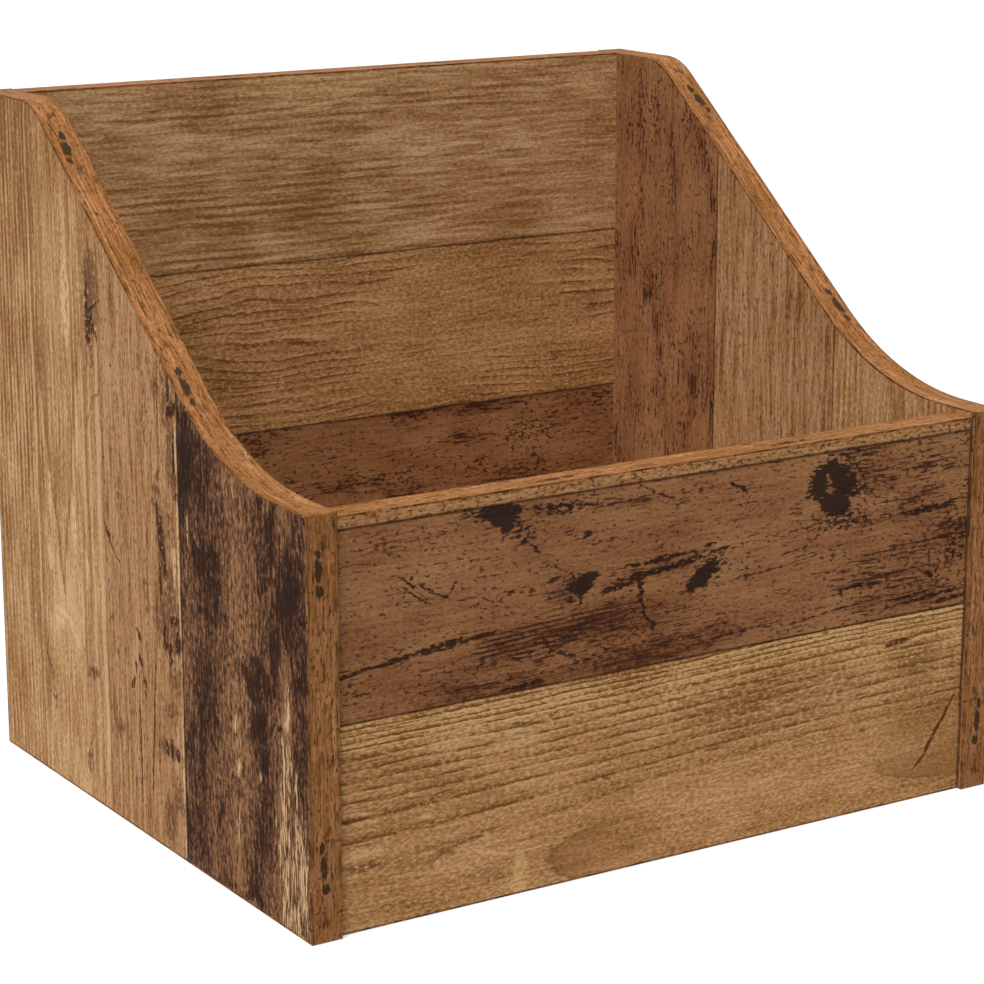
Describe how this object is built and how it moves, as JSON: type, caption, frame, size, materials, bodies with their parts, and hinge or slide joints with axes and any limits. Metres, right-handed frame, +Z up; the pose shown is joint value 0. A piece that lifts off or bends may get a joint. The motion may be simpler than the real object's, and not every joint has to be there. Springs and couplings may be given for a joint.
{
  "type": "record storage box",
  "caption": "Open-topped desktop box for vinyl records in wood-print board: low front panel, tall back, and sides whose top edge sweeps down in a curve; joined by hidden cam locks.",
  "frame": {"origin": "on the floor under the middle of the box", "axes": "+X across the box to the right, +Y to the back (the low front faces -Y), +Z up"},
  "size_m": [0.38, 0.32, 0.335],
  "materials": {
    "faced_board": "matt printed facing of old planks with grain, knots, stains and joint lines",
    "edge_band": "matt orange-brown wood-print edge band with short dark flecks",
    "cam_zinc": "satin die-cast zinc",
    "bolt_steel": "bright zinc-plated steel",
    "dowel_wood": "plain turned beech"
  },
  "bodies": {
    "box": {"left_side_panel": "faced_board", "right_side_panel": "faced_board", "front_panel": "faced_board", "back_panel": "faced_board", "bottom_panel": "faced_board", "left_side_top_band": "edge_band", "left_side_front_band": "edge_band", "left_side_rear_band": "edge_band", "left_side_bottom_band": "edge_band", "right_side_top_band": "edge_band", "right_side_front_band": "edge_band", "right_side_rear_band": "edge_band", "right_side_bottom_band": "edge_band", "front_panel_top_band": "edge_band", "front_panel_bottom_band": "edge_band", "back_panel_top_band": "edge_band", "back_panel_bottom_band": "edge_band", "left_cam_bolts": "bolt_steel", "right_cam_bolts": "bolt_steel", "front_panel_dowels": "dowel_wood", "back_panel_dowels": "dowel_wood", "bottom_panel_dowels": "dowel_wood"},
    "front_cam_left_lower": {"front_cam_left_lower": "cam_zinc"},
    "front_cam_left_upper": {"front_cam_left_upper": "cam_zinc"},
    "back_cam_left_lower": {"back_cam_left_lower": "cam_zinc"},
    "back_cam_left_upper": {"back_cam_left_upper": "cam_zinc"},
    "bottom_cam_left_front": {"bottom_cam_left_front": "cam_zinc"},
    "bottom_cam_left_rear": {"bottom_cam_left_rear": "cam_zinc"},
    "front_cam_right_lower": {"front_cam_right_lower": "cam_zinc"},
    "front_cam_right_upper": {"front_cam_right_upper": "cam_zinc"},
    "back_cam_right_lower": {"back_cam_right_lower": "cam_zinc"},
    "back_cam_right_upper": {"back_cam_right_upper": "cam_zinc"},
    "bottom_cam_right_front": {"bottom_cam_right_front": "cam_zinc"},
    "bottom_cam_right_rear": {"bottom_cam_right_rear": "cam_zinc"}
  },
  "joints": [
    {"name": "front_cam_left_lower_turn", "type": "hinge", "parent": "box", "child": "front_cam_left_lower", "pos_m": [-0.151, -0.1495, 0.045], "axis": [0, 1, 0], "range_deg": [0, 180]},
    {"name": "front_cam_left_upper_turn", "type": "hinge", "parent": "box", "child": "front_cam_left_upper", "pos_m": [-0.151, -0.1495, 0.142], "axis": [0, 1, 0], "range_deg": [0, 180]},
    {"name": "back_cam_left_lower_turn", "type": "hinge", "parent": "box", "child": "back_cam_left_lower", "pos_m": [-0.151, 0.1495, 0.045], "axis": [0, 1, 0], "range_deg": [0, 180]},
    {"name": "back_cam_left_upper_turn", "type": "hinge", "parent": "box", "child": "back_cam_left_upper", "pos_m": [-0.151, 0.1495, 0.29], "axis": [0, 1, 0], "range_deg": [0, 180]},
    {"name": "bottom_cam_left_front_turn", "type": "hinge", "parent": "box", "child": "bottom_cam_left_front", "pos_m": [-0.151, -0.097, 0.0175], "axis": [0, 0, -1], "range_deg": [0, 180]},
    {"name": "bottom_cam_left_rear_turn", "type": "hinge", "parent": "box", "child": "bottom_cam_left_rear", "pos_m": [-0.151, 0.097, 0.0175], "axis": [0, 0, -1], "range_deg": [0, 180]},
    {"name": "front_cam_right_lower_turn", "type": "hinge", "parent": "box", "child": "front_cam_right_lower", "pos_m": [0.151, -0.1495, 0.045], "axis": [0, 1, 0], "range_deg": [0, 180]},
    {"name": "front_cam_right_upper_turn", "type": "hinge", "parent": "box", "child": "front_cam_right_upper", "pos_m": [0.151, -0.1495, 0.142], "axis": [0, 1, 0], "range_deg": [0, 180]},
    {"name": "back_cam_right_lower_turn", "type": "hinge", "parent": "box", "child": "back_cam_right_lower", "pos_m": [0.151, 0.1495, 0.045], "axis": [0, 1, 0], "range_deg": [0, 180]},
    {"name": "back_cam_right_upper_turn", "type": "hinge", "parent": "box", "child": "back_cam_right_upper", "pos_m": [0.151, 0.1495, 0.29], "axis": [0, 1, 0], "range_deg": [0, 180]},
    {"name": "bottom_cam_right_front_turn", "type": "hinge", "parent": "box", "child": "bottom_cam_right_front", "pos_m": [0.151, -0.097, 0.0175], "axis": [0, 0, -1], "range_deg": [0, 180]},
    {"name": "bottom_cam_right_rear_turn", "type": "hinge", "parent": "box", "child": "bottom_cam_right_rear", "pos_m": [0.151, 0.097, 0.0175], "axis": [0, 0, -1], "range_deg": [0, 180]}
  ]
}
